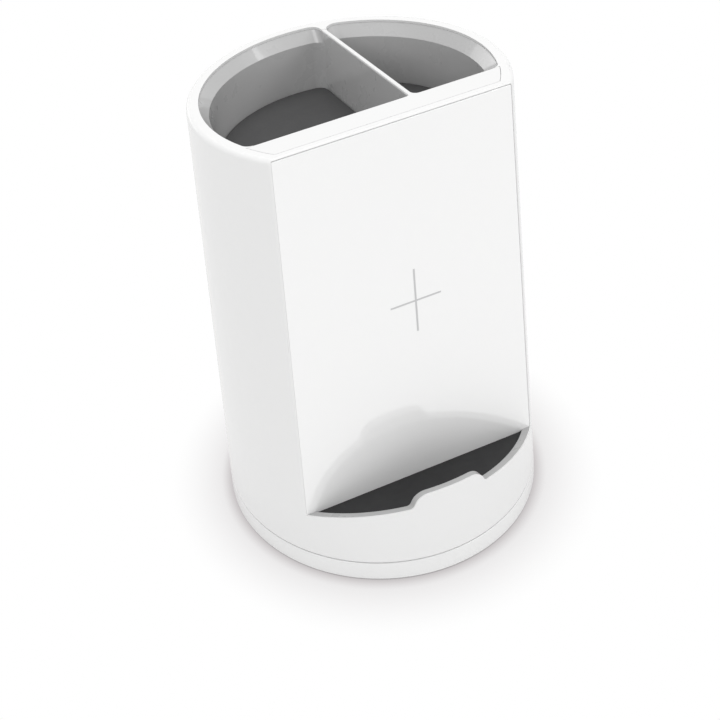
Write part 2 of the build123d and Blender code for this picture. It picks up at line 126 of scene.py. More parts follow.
class Graph:
    """A material's node tree, with short calls to add nodes and join them."""

    def __init__(self, name: str) -> None:
        """Start an empty material.

        Args:
            name: The material's name.
        """
        self.material = bpy.data.materials.new(name)
        self.material.use_nodes = True
        self.tree = self.material.node_tree
        self.tree.nodes.clear()
        self.output = self.tree.nodes.new("ShaderNodeOutputMaterial")

    def node(self, kind: str, values: dict | None = None, **settings: object) -> bpy.types.Node:
        """Add a node.

        Args:
            kind: Blender's type name of the node.
            values: Input values by name or number.
            **settings: Properties of the node.

        Returns:
            The new node.
        """
        made = self.tree.nodes.new(kind)
        for name, value in settings.items():
            setattr(made, name, value)
        for name, value in (values or {}).items():
            made.inputs[name].default_value = value
        return made

    def join(self, out: Socket, into: Socket) -> None:
        """Link an output to an input."""
        self.tree.links.new(out, into)

    def place(self, stretch: Place = (1.0, 1.0, 1.0), source: str = "Object") -> Socket:
        """Coordinates on the piece.

        Args:
            stretch: Factor along each axis, below 1 where the pattern runs long.
            source: Output of Texture Coordinate to read.

        Returns:
            The socket of the mapped coordinates.
        """
        where = self.node("ShaderNodeTexCoord")
        mapped = self.node("ShaderNodeMapping", {"Scale": stretch})
        self.join(where.outputs[source], mapped.inputs["Vector"])
        return mapped.outputs["Vector"]

    def noise(
        self, scale: float, detail: float = 3.0, rough: float = 0.55, at: Socket | None = None,
    ) -> Socket:
        """Soft noise between 0 and 1.

        Args:
            scale: Features per metre.
            detail: Octaves.
            rough: Weight of the finer octaves.
            at: Coordinates, the piece's own where it is left out.

        Returns:
            The socket of the noise value.
        """
        values = {"Scale": scale, "Detail": detail, "Roughness": rough}
        made = self.node("ShaderNodeTexNoise", values)
        self.join(at or self.place(), made.inputs["Vector"])
        return made.outputs[0]

    def spread(
        self, value: Socket, low: float, high: float, start: float = 0.3, end: float = 0.7,
    ) -> Socket:
        """Carry a value from start..end to low..high.

        Args:
            value: Socket of the value.
            low: Result at the start.
            high: Result at the end.
            start: Value that gives the low result.
            end: Value that gives the high result.

        Returns:
            The socket of the result.
        """
        values = {"From Min": start, "From Max": end, "To Min": low, "To Max": high}
        made = self.node("ShaderNodeMapRange", values)
        self.join(value, made.inputs["Value"])
        return made.outputs["Result"]

    def blend(self, factor: Socket, first: Colour, second: Colour) -> Socket:
        """Mix two colours by a factor that varies over the surface.

        Args:
            factor: Socket of the factor.
            first: Colour at 0.
            second: Colour at 1.

        Returns:
            The socket of the mixed colour.
        """
        values = {6: (*first, 1.0), 7: (*second, 1.0)}
        made = self.node("ShaderNodeMix", values, data_type="RGBA")
        self.join(factor, made.inputs[0])
        return made.outputs[2]

    def arithmetic(self, operation: str, first: Socket, second: Socket | float) -> Socket:
        """One step of arithmetic.

        Args:
            operation: Name of the operation.
            first: Socket of the first value.
            second: Socket or number of the second value.

        Returns:
            The socket of the result.
        """
        made = self.node("ShaderNodeMath", operation=operation)
        self.join(first, made.inputs[0])
        if isinstance(second, (int, float)):
            made.inputs[1].default_value = second
        else:
            self.join(second, made.inputs[1])
        return made.outputs[0]

    def relief(self, skin: Skin) -> Socket:
        """The height map of a skin.

        Args:
            skin: The skin.

        Returns:
            The socket of the height, about 0 to 1.
        """
        if skin.relief is Relief.PEEL:
            return self.noise(skin.scale, detail=1.0, rough=0.4)
        if skin.relief is Relief.SPARK:
            return self.noise(skin.scale, detail=5.0, rough=0.72)
        cells = self.node("ShaderNodeTexVoronoi", {"Scale": skin.scale}, feature="SMOOTH_F1")
        self.join(self.place(), cells.inputs["Vector"])
        if skin.relief is Relief.SINTER:
            coarse = self.noise(skin.scale / 4, detail=3.0)
            return self.arithmetic("MULTIPLY", cells.outputs["Distance"], coarse)
        coarse = self.noise(skin.scale / 6, detail=2.0)
        return self.arithmetic("SUBTRACT", coarse, cells.outputs["Distance"])

    def bump(self, height: Socket, distance: float) -> Socket:
        """Turn a height map into a bent normal.

        Args:
            height: Socket of the height.
            distance: Real height in metres that 1 stands for.

        Returns:
            The socket of the normal.
        """
        made = self.node("ShaderNodeBump", {"Distance": distance, "Strength": 1.0})
        self.join(height, made.inputs["Height"])
        return made.outputs["Normal"]

    def body(self, gloss: Gloss) -> bpy.types.Node:
        """The main shader with its even values set on its own sockets.

        Args:
            gloss: How the finish reflects.

        Returns:
            The shader node, joined to the output.
        """
        shader = self.node("ShaderNodeBsdfPrincipled", {
            "Specular IOR Level": gloss.specular,
            "IOR": gloss.ior,
            "Coat Weight": gloss.coat,
            "Coat Roughness": gloss.coat_rough,
            "Coat IOR": gloss.coat_ior,
            "Metallic": gloss.metal,
            "Sheen Weight": gloss.sheen,
        })
        self.join(shader.outputs["BSDF"], self.output.inputs["Surface"])
        return shader

    def finish(self, shader: bpy.types.Node, colour: Socket, rough: Socket, normal: Socket) -> None:
        """Join the values that vary over the surface to the shader.

        Args:
            shader: The shader.
            colour: Socket of the colour.
            rough: Socket of the roughness.
            normal: Socket of the bent normal.
        """
        self.join(colour, shader.inputs["Base Color"])
        self.join(rough, shader.inputs["Roughness"])
        self.join(normal, shader.inputs["Normal"])


@dataclass(frozen=True)
class Moulded:
    """A finish of one stuff whose colour drifts softly between two near tones.

    Attributes:
        name: Name of the material.
        tone: Colour of the lighter patches.
        shade: Colour of the darker patches.
        patch: Patches per metre.
        skin: Relief and roughness.
        gloss: Reflection.
        speckle: Weight of the fine speckle against the wide patches.
        speckle_scale: Its scale as a share of the skin's.
        drift: Values of the pattern that give the shade and the tone.
        smears: Patches of roughness to one patch of colour.
    """

    name: str
    tone: Colour
    shade: Colour
    patch: float
    skin: Skin
    gloss: Gloss
    speckle: float = 0.35
    speckle_scale: float = 0.7
    drift: Span = (0.45, 0.9)
    smears: float = 5.0

    def make(self) -> bpy.types.Material:
        """Build the material.

        Returns:
            The material.
        """
        graph = Graph(self.name)
        shader = graph.body(self.gloss)
        wide = graph.noise(self.patch, detail=2.0)
        fine = graph.noise(self.skin.scale * self.speckle_scale, detail=2.0)
        mixed = graph.arithmetic("MULTIPLY_ADD", fine, self.speckle)
        graph.join(wide, mixed.node.inputs[2])
        graph.finish(
            shader,
            graph.blend(graph.spread(mixed, 0.0, 1.0, *self.drift), self.shade, self.tone),
            graph.spread(graph.noise(self.patch * self.smears), *self.skin.rough),
            graph.bump(graph.relief(self.skin), self.skin.height),
        )
        return graph.material


@dataclass(frozen=True)
class Turned:
    """Metal that was turned on a lathe or wound: rings round an upright axis through the piece.

    Attributes:
        name: Name of the material.
        tone: Colour of the metal.
        rings: Rings per metre.
        rough: Lowest and highest roughness.
        dull: Brightness of the dark rings as a share of the tone.
        stretch: Factor along each axis that draws the rings out sideways.
        groove: Depth of a ring.
    """

    name: str
    tone: Colour
    rings: float
    rough: Span
    dull: float = 0.82
    stretch: Place = (0.25, 0.25, 1.0)
    groove: float = 4e-6

    def make(self) -> bpy.types.Material:
        """Build the material.

        Returns:
            The material.
        """
        graph = Graph(self.name)
        shader = graph.body(Gloss(metal=1.0, ior=2.2))
        shade = tuple(self.dull * part for part in self.tone)
        lines = graph.noise(self.rings, detail=4.0, rough=0.6, at=graph.place(self.stretch))
        graph.finish(
            shader,
            graph.blend(graph.spread(lines, 0.0, 1.0), shade, self.tone),
            graph.spread(lines, *self.rough),
            graph.bump(lines, self.groove),
        )
        return graph.material


@dataclass(frozen=True)
class Stranded:
    """Enamelled wire made of fine twisted strands, read along the winding's own UV map.

    Attributes:
        name: Name of the material.
        copper: Colour of the crown of a strand.
        painted_groove_shade: Darker copper painted between two strands as shade in the groove.
        twist: Strands seen across and along one metre of the map.
        edge: Values of the pattern at which a strand starts and is full.
        groove: Depth between two strands.
        smears: Patches of roughness per metre.
        rough: Lowest and highest roughness.
    """

    name: str
    copper: Colour
    painted_groove_shade: Colour
    twist: float
    edge: Span = (0.05, 0.6)
    groove: float = 4e-5
    smears: float = 900.0
    rough: Span = (0.22, 0.38)

    def make(self) -> bpy.types.Material:
        """Build the material.

        Returns:
            The material.
        """
        graph = Graph(self.name)
        shader = graph.body(Gloss(metal=0.85, coat=0.6, coat_rough=0.12))
        values = {"Scale": self.twist, "Distortion": 0.6, "Detail": 1.0}
        waves = graph.node("ShaderNodeTexWave", values, bands_direction="DIAGONAL")
        graph.join(graph.place(source="UV"), waves.inputs["Vector"])
        crown = waves.outputs["Fac"]
        # The troughs of the waves take the darker copper, a painted shade in the grooves between
        # strands.
        graph.finish(
            shader,
            graph.blend(graph.spread(crown, 0.0, 1.0, *self.edge), self.painted_groove_shade, self.copper),
            graph.spread(graph.noise(self.smears), *self.rough),
            graph.bump(crown, self.groove),
        )
        return graph.material


@dataclass(frozen=True)
class Laminate:
    """Circuit board: green mask over copper lines.

    Attributes:
        name: Name of the material.
        mask: Colour of the mask.
        line: Colour where copper lies under the mask.
        pitch: Lines per metre.
        edge: Values of the pattern at which a line starts and is full.
        height: Height of a line.
        smears: Patches of roughness per metre.
        rough: Lowest and highest roughness.
    """

    name: str
    mask: Colour
    line: Colour
    pitch: float
    edge: Span = (0.30, 0.34)
    height: float = 3e-5
    smears: float = 600.0
    rough: Span = (0.28, 0.42)

    def make(self) -> bpy.types.Material:
        """Build the material.

        Returns:
            The material.
        """
        graph = Graph(self.name)
        shader = graph.body(Gloss(coat=0.5, coat_rough=0.08))
        kind = {"feature": "F1", "distance": "CHEBYCHEV"}
        cells = graph.node("ShaderNodeTexVoronoi", {"Scale": self.pitch}, **kind)
        graph.join(graph.place((1.0, 1.0, 0.0)), cells.inputs["Vector"])
        run = graph.spread(cells.outputs["Distance"], 0.0, 1.0, *self.edge)
        graph.finish(
            shader,
            graph.blend(run, self.mask, self.line),
            graph.spread(graph.noise(self.smears), *self.rough),
            graph.bump(run, self.height),
        )
        return graph.material


Finish = Moulded | Turned | Stranded | Laminate


class Finishes:
    """Every finish of the pen holder, each built once and handed out by name."""

    SHELL = Moulded(
        "shell_white", (0.83, 0.83, 0.828), (0.82, 0.82, 0.818), 14.0,
        Skin(Relief.PEEL, 900.0, 1.2e-6, (0.20, 0.24)), Gloss(specular=0.35),
    )
    TRIM = Moulded(
        "trim_white", (0.81, 0.81, 0.808), (0.80, 0.80, 0.798), 14.0,
        Skin(Relief.PEEL, 1100.0, 2.0e-6, (0.16, 0.22)), Gloss(specular=0.5),
    )
    PANEL = Moulded(
        "panel_white", (0.915, 0.915, 0.913), (0.905, 0.905, 0.903), 12.0,
        Skin(Relief.PEEL, 500.0, 6.0e-7, (0.06, 0.09)),
        Gloss(specular=0.7, coat=1.0, coat_rough=0.02, coat_ior=1.7),
    )
    MARK = Moulded(
        "mark_grey", (0.58, 0.58, 0.585), (0.52, 0.52, 0.525), 60.0,
        Skin(Relief.SPARK, 3000.0, 4.0e-6, (0.35, 0.5)), Gloss(),
    )
    LINER = Moulded(
        "liner_grey", (0.45, 0.45, 0.45), (0.435, 0.435, 0.435), 30.0,
        Skin(Relief.SPARK, 2600.0, 1.5e-6, (0.26, 0.32)), Gloss(),
    )
    WELL = Moulded(
        "well_grey", (0.51, 0.51, 0.51), (0.495, 0.495, 0.495), 30.0,
        Skin(Relief.SPARK, 2200.0, 1.5e-6, (0.26, 0.32)), Gloss(coat=1.0, coat_rough=0.06),
    )
    PAD = Moulded(
        "pad_black", (0.021, 0.021, 0.022), (0.018, 0.018, 0.019), 60.0,
        Skin(Relief.PEBBLE, 2600.0, 5.0e-6, (0.62, 0.70)), Gloss(specular=0.3, sheen=0.05),
    )
    MAT = Moulded(
        "well_mat_dark", (0.070, 0.070, 0.071), (0.058, 0.058, 0.059), 50.0,
        Skin(Relief.PEBBLE, 2000.0, 6.0e-6, (0.58, 0.66)), Gloss(specular=0.35, sheen=0.05),
    )
    FOOT = Moulded(
        "foot_rubber", (0.05, 0.05, 0.052), (0.03, 0.03, 0.032), 40.0,
        Skin(Relief.PEBBLE, 1600.0, 3.0e-5, (0.6, 0.8)), Gloss(specular=0.3, sheen=0.08),
    )
    BASE = Moulded(
        "base_white", (0.845, 0.845, 0.843), (0.835, 0.835, 0.833), 14.0,
        Skin(Relief.PEEL, 900.0, 1.2e-6, (0.20, 0.24)), Gloss(specular=0.35),
    )
    COVER = Moulded(
        "cover_white", (0.74, 0.74, 0.735), (0.70, 0.70, 0.695), 20.0,
        Skin(Relief.SPARK, 1800.0, 8.0e-6, (0.45, 0.6)), Gloss(),
    )
    GLIDE = Moulded(
        "glide_acetal", (0.70, 0.70, 0.67), (0.64, 0.64, 0.61), 40.0,
        Skin(Relief.PEEL, 1500.0, 3.0e-6, (0.25, 0.35)), Gloss(),
    )
    CARRIER = Moulded(
        "carrier_grey", (0.22, 0.22, 0.225), (0.18, 0.18, 0.185), 30.0,
        Skin(Relief.SPARK, 2400.0, 8.0e-6, (0.4, 0.55)), Gloss(),
    )
    SHIELD = Moulded(
        "shield_ferrite", (0.055, 0.052, 0.05), (0.035, 0.033, 0.032), 200.0,
        Skin(Relief.SINTER, 3500.0, 1.0e-5, (0.45, 0.65)), Gloss(),
    )
    INSULATION = Moulded(
        "lead_insulation", (0.45, 0.03, 0.025), (0.38, 0.022, 0.02), 120.0,
        Skin(Relief.PEEL, 1800.0, 3.0e-6, (0.3, 0.42)), Gloss(),
    )
    COMPONENT = Moulded(
        "component_epoxy", (0.045, 0.045, 0.048), (0.028, 0.028, 0.03), 300.0,
        Skin(Relief.SPARK, 5000.0, 8.0e-6, (0.4, 0.6)), Gloss(),
    )
    FILM = Moulded(
        "film_capacitor_yellow", (0.62, 0.40, 0.05), (0.52, 0.32, 0.035), 200.0,
        Skin(Relief.PEEL, 2500.0, 5.0e-6, (0.3, 0.45)), Gloss(coat=0.3),
    )
    STEEL = Turned("screw_steel", (0.62, 0.62, 0.64), 1500.0, (0.22, 0.4))
    CAN = Turned("can_aluminium", (0.78, 0.79, 0.80), 2200.0, (0.25, 0.4))
    SOCKET = Turned("socket_steel", (0.66, 0.66, 0.67), 1800.0, (0.18, 0.32))
    WINDING = Stranded("winding_copper", (0.78, 0.36, 0.18), (0.28, 0.10, 0.045), 260.0)
    BOARD = Laminate("board_green", (0.02, 0.13, 0.055), (0.035, 0.22, 0.09), 420.0)

    def __init__(self) -> None:
        """Start with nothing built."""
        self.built: dict[str, bpy.types.Material] = {}

    def get(self, finish: Finish) -> bpy.types.Material:
        """The material of a finish, built at its first use."""
        if finish.name not in self.built:
            self.built[finish.name] = finish.make()
        return self.built[finish.name]

    def dress(self, node: str, finish: Finish) -> None:
        """Put a finish on a CAD node and report it.

        Args:
            node: Name of the node.
            finish: The finish.
        """
        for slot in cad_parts[node].material_slots:
            slot.material = self.get(finish)
        log.info("%s: %s", node, finish.name)

    def dress_all(self, finishes: dict[str, Finish]) -> None:
        """Put a finish on each CAD node named."""
        for node, finish in finishes.items():
            self.dress(node, finish)


def panel_axes() -> tuple[np.ndarray, np.ndarray, np.ndarray]:
    """The leaning panel's own axes: across it, up it, and out of its face."""
    lean = math.radians(PANEL_LEAN)
    across = np.array([1.0, 0.0, 0.0])
    up = np.array([0.0, math.sin(lean), math.cos(lean)])
    normal = np.array([0.0, -math.cos(lean), math.sin(lean)])
    return across, up, normal


def distances(outline: np.ndarray) -> np.ndarray:
    """Distance of each corner of a closed outline from its first, and last the whole girth."""
    sides = np.linalg.norm(np.diff(outline, axis=0, append=outline[:1]), axis=1)
    return np.concatenate(([0.0], np.cumsum(sides)))


@dataclass
class Drum:
    """The turning drum: shell, deck trim, leaning panel and its charging mark.

    Attributes:
        finishes: The finishes.
        panel_root: Where the panel's face meets the tray, in the middle.
        panel_low: Reach of the panel below that point.
        panel_high: Reach of the panel above it.
        foot_half: Half width of the panel at its foot.
        top_half: Half width of the panel at its top.
        thickness: Thickness of the panel.
        edge: Radius of its rounded rim.
        corner: Radius of its corners.
        corner_steps: Points round one corner.
        edge_steps: Points across the rounded rim.
        mark_at: Middle of the charging mark, across and up the panel.
        mark_half: Half the width and half the height of the mark.
        mark_line: Width of its lines.
        mark_proud: How far the mark stands above the panel's face.
        mark_deep: How deep it reaches below the face.
    """

    finishes: Finishes
    panel_root: Place = (0.0, -0.0263, 0.01983)
    panel_low: float = 0.0014
    panel_high: float = 0.10376
    foot_half: float = 0.03373
    top_half: float = 0.02933
    thickness: float = 0.0017
    edge: float = 0.00018
    corner: float = 0.00035
    corner_steps: int = 8
    edge_steps: int = 7
    mark_at: Span = (0.00215, 0.05513)
    mark_half: Span = (0.00685, 0.0092)
    mark_line: float = 0.0005
    mark_proud: float = 0.00001
    mark_deep: float = 0.0001

    def on_panel(self, flat: np.ndarray, depth: np.ndarray) -> np.ndarray:
        """Carry flat rings onto the leaning panel.

        A point (a, b) at depth d goes to root + a * across + b * up - d * normal.

        Args:
            flat: Places across and up the panel, shaped (rings, sides, 2).
            depth: Depth of each ring behind the face.

        Returns:
            The points, shaped (rings, sides, 3).
        """
        across, up, normal = panel_axes()
        on_face = np.array(self.panel_root) + flat[:, :, :1] * across + flat[:, :, 1:] * up
        return on_face - depth[:, None, None] * normal

    def mark(self) -> bpy.types.Object:
        """Build the charging mark, a thin upright cross printed into the panel.

        The outline is that of two crossed bars of half width h, with half lengths a across and
        b up, carried straight through from above the face to below it.

        Returns:
            The mark's object.
        """
        a, b = self.mark_half
        h = self.mark_line / 2
        outline = np.array([
            (-h, -b), (h, -b), (h, -h), (a, -h), (a, h), (h, h),
            (h, b), (-h, b), (-h, h), (-a, h), (-a, -h), (-h, -h),
        ]) + np.array(self.mark_at)
        depth = np.array([-self.mark_proud, self.mark_deep])
        flat = np.repeat(outline[None, :, :], len(depth), axis=0)
        points = self.on_panel(flat, depth)
        return tube_mesh("mark", points, depth, distances(outline), smooth=False)

    def panel(self) -> bpy.types.Object:
        """Build the leaning panel, a flat slab with a rounded rim that fills its recess.

        The outline is a trapezium with round corners: corner k has its arc's centre at
        P(k) - r * (n(k - 1) + n(k)) / (1 + n(k - 1) . n(k)), where n are the normals of its edges.
        Ring t of the rounded rim lies inside the outline by edge * (1 - sin t) and behind the face
        by edge * (1 - cos t), and the last ring lies at the back.

        Returns:
            The panel's object.
        """
        corners = np.array([
            (-self.foot_half, -self.panel_low), (self.foot_half, -self.panel_low),
            (self.top_half, self.panel_high), (-self.top_half, self.panel_high),
        ])
        along = np.roll(corners, -1, axis=0) - corners
        length = np.linalg.norm(along, axis=1)[:, None]
        after = np.stack((along[:, 1], -along[:, 0]), axis=1) / length
        before = np.roll(after, 1, axis=0)
        share = 1.0 + (before * after).sum(axis=1)
        centres = corners - self.corner * (before + after) / share[:, None]
        start = np.arctan2(before[:, 1], before[:, 0])
        turn = (np.arctan2(after[:, 1], after[:, 0]) - start) % (2 * math.pi)
        angles = start[:, None] + turn[:, None] * np.linspace(0.0, 1.0, self.corner_steps)
        outwards = np.stack((np.cos(angles), np.sin(angles)), axis=2).reshape(-1, 2)
        outline = np.repeat(centres, self.corner_steps, axis=0) + self.corner * outwards
        t = np.linspace(0.0, math.pi / 2, self.edge_steps)
        inset = np.append(self.edge * (1.0 - np.sin(t)), 0.0)
        depth = np.append(self.edge * (1.0 - np.cos(t)), self.thickness)
        flat = outline[None, :, :] - inset[:, None, None] * outwards[None, :, :]
        return tube_mesh("panel", self.on_panel(flat, depth), depth, distances(outline))

    def dress(self) -> None:
        """Build the panel and finish the shell, the trim, the panel and the mark."""
        for made, node, finish in (
            (self.panel(), "front_panel", Finishes.PANEL),
            (self.mark(), "charging_mark", Finishes.MARK),
        ):
            made.data.materials.append(self.finishes.get(finish))
            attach(made, "drum")
            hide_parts(node)
            log.info("%s: %s", made.name, finish.name)
        self.finishes.dress_all({
            "drum_shell": Finishes.SHELL,
            "deck_trim": Finishes.TRIM,
            "front_panel": Finishes.PANEL,
            "charging_mark": Finishes.MARK,
        })


@dataclass
class Tray:
    """The phone tray: grey liner with the inner half of the stop, and the rubber pad."""

    finishes: Finishes

    def dress(self) -> None:
        """Finish the liner and the pad."""
        self.finishes.dress_all({"tray_liner": Finishes.LINER, "tray_pad": Finishes.PAD})


@dataclass
class Wells:
    """The two pen wells: the tub, its mats and the screws that hold it."""

    finishes: Finishes

    def dress(self) -> None:
        """Finish the tub, the mats and the screws."""
        self.finishes.dress_all({
            "well_insert": Finishes.WELL,
            "left_well_mat": Finishes.MAT,
            "right_well_mat": Finishes.MAT,
            "insert_screws": Finishes.STEEL,
        })


@dataclass
class Foot:
    """The swivel foot: base, glide ring, rubber ring, washer, screws and the drum's cover."""

    finishes: Finishes

    def dress(self) -> None:
        """Finish the base and everything that turns on it."""
        self.finishes.dress_all({
            "swivel_base": Finishes.BASE,
            "glide_ring": Finishes.GLIDE,
            "foot_ring": Finishes.FOOT,
            "hub_washer": Finishes.STEEL,
            "hub_screw": Finishes.STEEL,
            "bottom_cover": Finishes.COVER,
            "cover_screws": Finishes.STEEL,
        })


@dataclass
class Charger:
    """The charger behind the panel: winding, shield, carrier, leads, board and power inlet.

    Attributes:
        finishes: The finishes.
        turns: Turns of the winding.
        band: Width of the winding's ring.
        bundle_share: Width of one turn as a share of the pitch.
        thick_share: Half thickness of the bundle as a share of the coil's thickness.
        margin: Distance of the first and last turn from the ring's edges, in half widths.
        roundness: Power that draws a circle out to a rounded box.
        steps: Points along one turn.
        sides: Points round the bundle.
    """

    finishes: Finishes
    turns: int = 10
    band: float = 0.0135
    bundle_share: float = 0.94
    thick_share: float = 0.48
    margin: float = 1.05
    roundness: float = 0.6
    steps: int = 72
    sides: int = 12

    def winding(self) -> bpy.types.Object:
        """Build the flat spiral winding.

        A rounded profile is carried along a flat spiral. The spiral's radius falls evenly with the
        angle from the outer edge to the inner one. A point at angle t and profile angle p lies at
        centre + (radius(t) + half width * C(p)) * (cos t * across + sin t * up)
        + half thickness * S(p) * normal, where C and S are the cosine and sine drawn out to a
        rounded box.

        Returns:
            The winding's object.
        """
        low, high = (np.array(corner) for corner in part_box("charging_coil"))
        centre = (low + high) / 2
        across, up, normal = panel_axes()
        outer = (high[0] - low[0]) / 2
        thick = (high[1] - low[1]) - 2 * outer * math.sin(math.radians(PANEL_LEAN))
        pitch = self.band / self.turns
        half_wide = self.bundle_share * pitch / 2
        half_thick = self.thick_share * thick
        count = self.turns * self.steps
        t = np.linspace(0.0, 2 * math.pi * self.turns, count)
        inside = self.margin * half_wide
        radius = np.linspace(outer - inside, outer - self.band + inside, count)
        p = np.arange(self.sides) * 2 * math.pi / self.sides
        c = np.sign(np.cos(p)) * np.abs(np.cos(p)) ** self.roundness
        s = np.sign(np.sin(p)) * np.abs(np.sin(p)) ** self.roundness
        ray = np.cos(t)[:, None] * across + np.sin(t)[:, None] * up
        points = (
            centre
            + (radius[:, None] + half_wide * c)[:, :, None] * ray[:, None, :]
            + (half_thick * s)[None, :, None] * normal
        )
        length = np.concatenate(([0.0], np.cumsum(radius[1:] * np.diff(t))))
        girth = np.arange(self.sides + 1) / self.sides * 2 * (half_wide + half_thick)
        return tube_mesh("winding", points, length, girth)

    def dress(self) -> None:
        """Build the winding and finish the charger's parts."""
        winding = self.winding()
        winding.data.materials.append(self.finishes.get(Finishes.WINDING))
        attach(winding, "drum")
        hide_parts("charging_coil")
        log.info("winding: %d turns", self.turns)
        self.finishes.dress_all({
            "charging_coil": Finishes.WINDING,
            "coil_shield": Finishes.SHIELD,
            "coil_carrier": Finishes.CARRIER,
            "carrier_screws": Finishes.STEEL,
            "coil_leads": Finishes.INSULATION,
            "circuit_board": Finishes.BOARD,
            "board_screws": Finishes.STEEL,
            "controller_chips": Finishes.COMPONENT,
            "small_components": Finishes.COMPONENT,
            "choke": Finishes.SHIELD,
            "can_capacitor": Finishes.CAN,
            "film_capacitors": Finishes.FILM,
            "power_inlet": Finishes.SOCKET,
            "inlet_tongue": Finishes.COMPONENT,
        })


def tube_mesh(
    name: str, points: np.ndarray, length: np.ndarray, girth: np.ndarray, smooth: bool = True,
) -> bpy.types.Object:
    """Make a closed tube from rings of points, with a UV map in metres along and round it.

    Quads join point (i, j) to its neighbours (i + 1, j) and (i, j + 1), where j wraps round, and
    each end ring is closed by one flat face.

    Args:
        name: Name of the object.
        points: Ring points, shaped (rings, sides, 3).
        length: Distance of each ring from the start.
        girth: Distance of each side from the first, one more than there are sides.
        smooth: Whether the sides are shaded round; the two ends are always flat.

    Returns:
        The object, with its place in its mesh.
    """
    rings, sides, _ = points.shape
    grids = np.meshgrid(np.arange(rings - 1), np.arange(sides), indexing="ij")
    i, j = (grid.ravel() for grid in grids)
    k = (j + 1) % sides
    here, there = i * sides, (i + 1) * sides
    quads = np.stack((here + j, there + j, there + k, here + k), axis=1)
    start = np.arange(sides)
    end = (rings - 1) * sides + np.arange(sides)[::-1]
    mesh = bpy.data.meshes.new(name)
    mesh.from_pydata(points.reshape(-1, 3), [], quads.tolist() + [start.tolist(), end.tolist()])
    along = np.stack((length[i], length[i + 1], length[i + 1], length[i]), axis=1)
    around = np.stack((girth[j], girth[j], girth[j + 1], girth[j + 1]), axis=1)
    caps = np.zeros((2 * sides, 2))
    uv = np.concatenate((np.stack((along, around), axis=2).reshape(-1, 2), caps))
    layer = mesh.uv_layers.new(name="along")
    layer.data.foreach_set("uv", uv.ravel())
    is_side = np.arange(len(mesh.polygons)) < len(quads)
    mesh.polygons.foreach_set("use_smooth", smooth & is_side)
    mesh.update()
    made = bpy.data.objects.new(name, mesh)
    bpy.context.scene.collection.objects.link(made)
    return made


@dataclass(frozen=True)
class Lamp:
    """A soft rectangular lamp.

    Attributes:
        name: Name of the lamp.
        place: Where it hangs.
        aim: The point that it looks at.
        size: Width and height.
        radiance: Brightness of its face, where 1 is the white of the background.
    """

    name: str
    place: Place
    aim: Place
    size: Span
    radiance: float

    def hang(self) -> None:
        """Add the lamp to the scene."""
        data = bpy.data.lights.new(self.name, "AREA")
        data.shape = "RECTANGLE"
        data.size, data.size_y = self.size
        data.energy = self.radiance * math.pi * self.size[0] * self.size[1]
        made = bpy.data.objects.new(self.name, data)
        made.location = self.place
        sight = Vector(self.aim) - Vector(self.place)
        made.rotation_euler = sight.to_track_quat("-Z", "Y").to_euler()
        bpy.context.scene.collection.objects.link(made)
        log.info("lamp %s", self.name)


